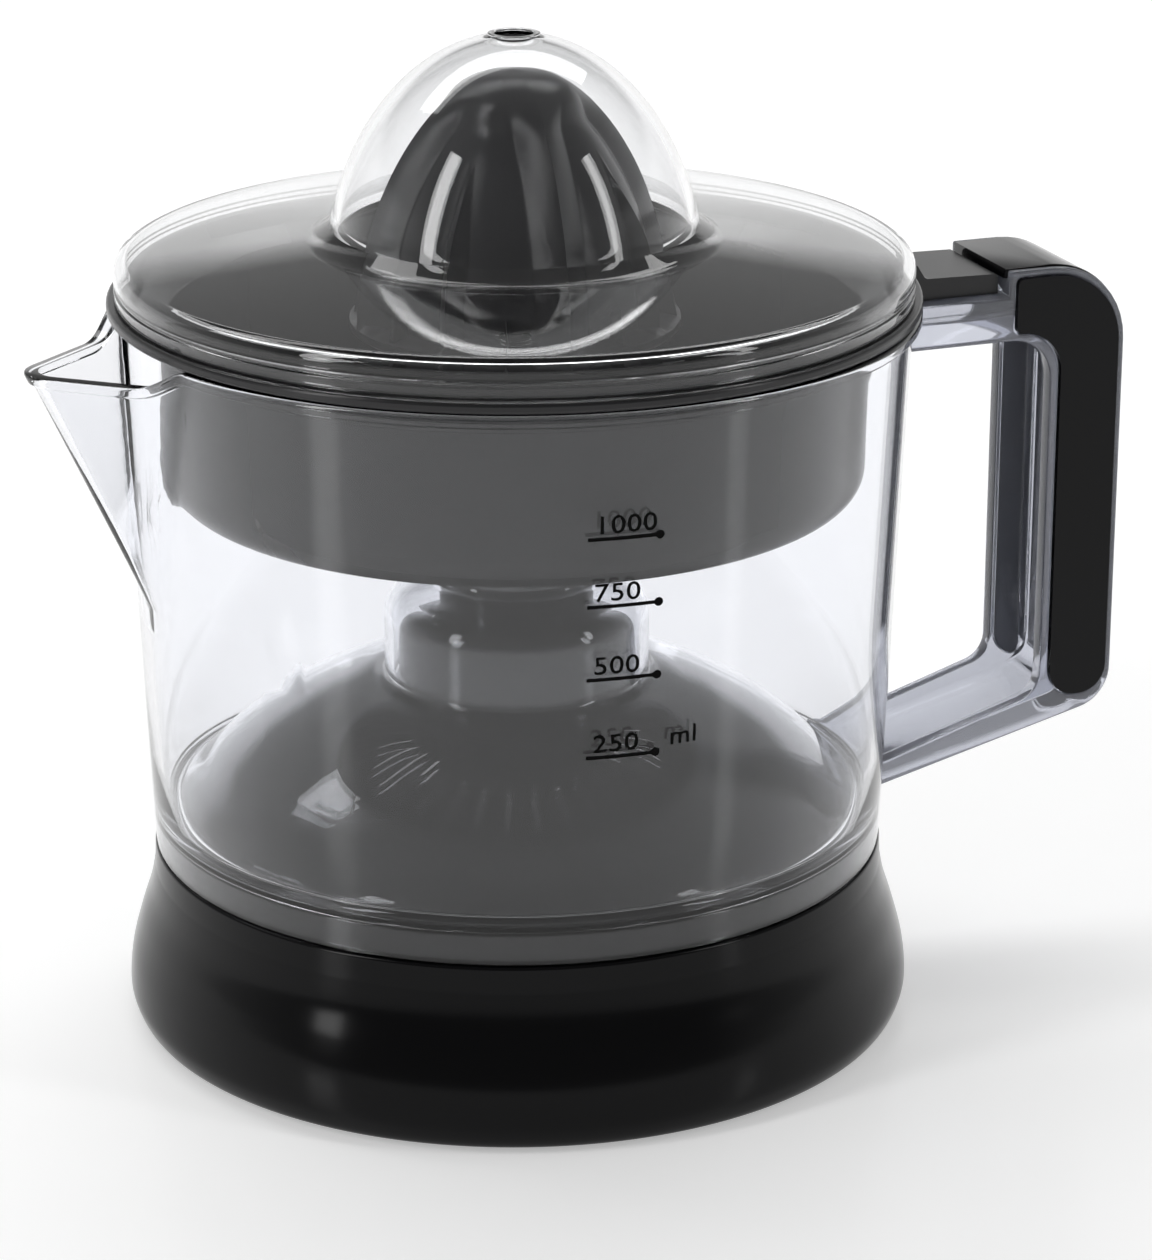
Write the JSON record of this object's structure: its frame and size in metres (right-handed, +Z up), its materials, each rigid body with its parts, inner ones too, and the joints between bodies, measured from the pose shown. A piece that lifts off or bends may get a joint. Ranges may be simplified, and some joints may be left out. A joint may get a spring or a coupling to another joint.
{
  "type": "citrus press juicer",
  "caption": "Electric citrus press: ribbed reamer under a clear domed cover, strainer tray on a clear spouted jug with a side handle, and a round gloss motor base.",
  "frame": {"origin": "centre of the whole object's box at the level that the feet stand on", "axes": "+Z up along the spindle, +X towards the handle, -X towards the spout"},
  "size_m": [0.234, 0.165, 0.207],
  "materials": {
    "base_black": "high gloss black",
    "base_black_matt": "moulded, fine matt",
    "foot_rubber": "matt",
    "screw_steel": "zinc plated",
    "terminal_white": "moulded nylon",
    "chassis_grey": "moulded, fine matt",
    "core_steel": "stacked sheets",
    "coil_brass": "enamelled copper wire",
    "magnet_grey": "sintered, matt",
    "shaft_steel": "ground",
    "gear_white": "moulded acetal",
    "spindle_grey": "moulded acetal",
    "jug_clear": "polished clear plastic, faint blue tint",
    "inlay_black": "gloss black",
    "tray_grey": "satin dark grey",
    "reamer_grey": "satin dark grey",
    "cover_clear": "polished clear plastic"
  },
  "bodies": {
    "base": {"base_housing": "base_black", "bottom_plate": "base_black_matt", "rubber_feet": "foot_rubber", "bottom_screws": "screw_steel", "cord_gland": "foot_rubber", "terminal_block": "terminal_white", "chassis_plate": "chassis_grey", "chassis_screws": "screw_steel", "motor_core": "core_steel", "motor_coil": "coil_brass", "motor_bridges": "core_steel", "motor_screws": "screw_steel", "idler_pin": "shaft_steel", "gear_bush": "terminal_white", "tower_bush": "terminal_white", "lever_pin": "shaft_steel", "switch_body": "base_black_matt"},
    "rotor": {"rotor_magnet": "magnet_grey", "rotor_shaft": "shaft_steel", "motor_pinion": "gear_white"},
    "idler": {"idler_gear": "gear_white"},
    "output": {"output_gear": "gear_white", "return_spring": "shaft_steel"},
    "spindle": {"drive_shaft": "spindle_grey", "shaft_clip": "shaft_steel"},
    "switch": {"switch_lever": "chassis_grey"},
    "jug": {"jug_body": "jug_clear", "jug_spout": "jug_clear", "jug_handle": "jug_clear", "handle_inlay_front": "inlay_black", "handle_inlay_rear": "inlay_black", "handle_back_strip": "inlay_black"},
    "tray": {"juice_tray": "tray_grey"},
    "bush": {"reamer_bush": "spindle_grey"},
    "reamer": {"reamer_cone": "reamer_grey", "drive_socket": "spindle_grey"},
    "cover": {"dust_cover": "cover_clear"}
  },
  "joints": [
    {"name": "jug_lift", "type": "slide", "parent": "base", "child": "jug", "axis": [0, 0, 1], "range_m": [0, 0.14]},
    {"name": "tray_lift", "type": "slide", "parent": "jug", "child": "tray", "axis": [0, 0, 1], "range_m": [0, 0.06]},
    {"name": "cover_lift", "type": "slide", "parent": "tray", "child": "cover", "axis": [0, 0, 1], "range_m": [0, 0.06]},
    {"name": "output_spin", "type": "hinge", "parent": "base", "child": "output", "pos_m": [-0.015, 0, 0.053], "axis": [0, 0, 1], "continuous": true},
    {"name": "idler_spin", "type": "hinge", "parent": "base", "child": "idler", "pos_m": [-0.04, 0, 0.05], "axis": [0, 0, 1], "continuous": true},
    {"name": "rotor_spin", "type": "hinge", "parent": "base", "child": "rotor", "pos_m": [-0.06, 0, 0.02], "axis": [0, 0, 1], "continuous": true},
    {"name": "spindle_press", "type": "slide", "parent": "output", "child": "spindle", "axis": [0, 0, 1], "range_m": [-0.0025, 0], "stiffness_N_per_m": 400, "springref_m": 0.01, "deforming": ["return_spring"]},
    {"name": "switch_tilt", "type": "hinge", "parent": "base", "child": "switch", "pos_m": [0.005, 0, 0.031], "axis": [0, 1, 0], "range_deg": [-7.5, 0]},
    {"name": "reamer_press", "type": "slide", "parent": "tray", "child": "bush", "axis": [0, 0, 1], "range_m": [-0.0025, 0]},
    {"name": "reamer_spin", "type": "hinge", "parent": "bush", "child": "reamer", "pos_m": [-0.015, 0, 0.15], "axis": [0, 0, 1], "continuous": true}
  ],
  "couplings": [
    {"joint": "idler_spin", "follows": "output_spin", "ratio": -4},
    {"joint": "rotor_spin", "follows": "output_spin", "ratio": 16},
    {"joint": "switch_tilt", "follows": "spindle_press", "rad_per_m": 50},
    {"joint": "reamer_press", "follows": "spindle_press", "ratio": 1},
    {"joint": "reamer_spin", "follows": "output_spin", "ratio": 1}
  ]
}
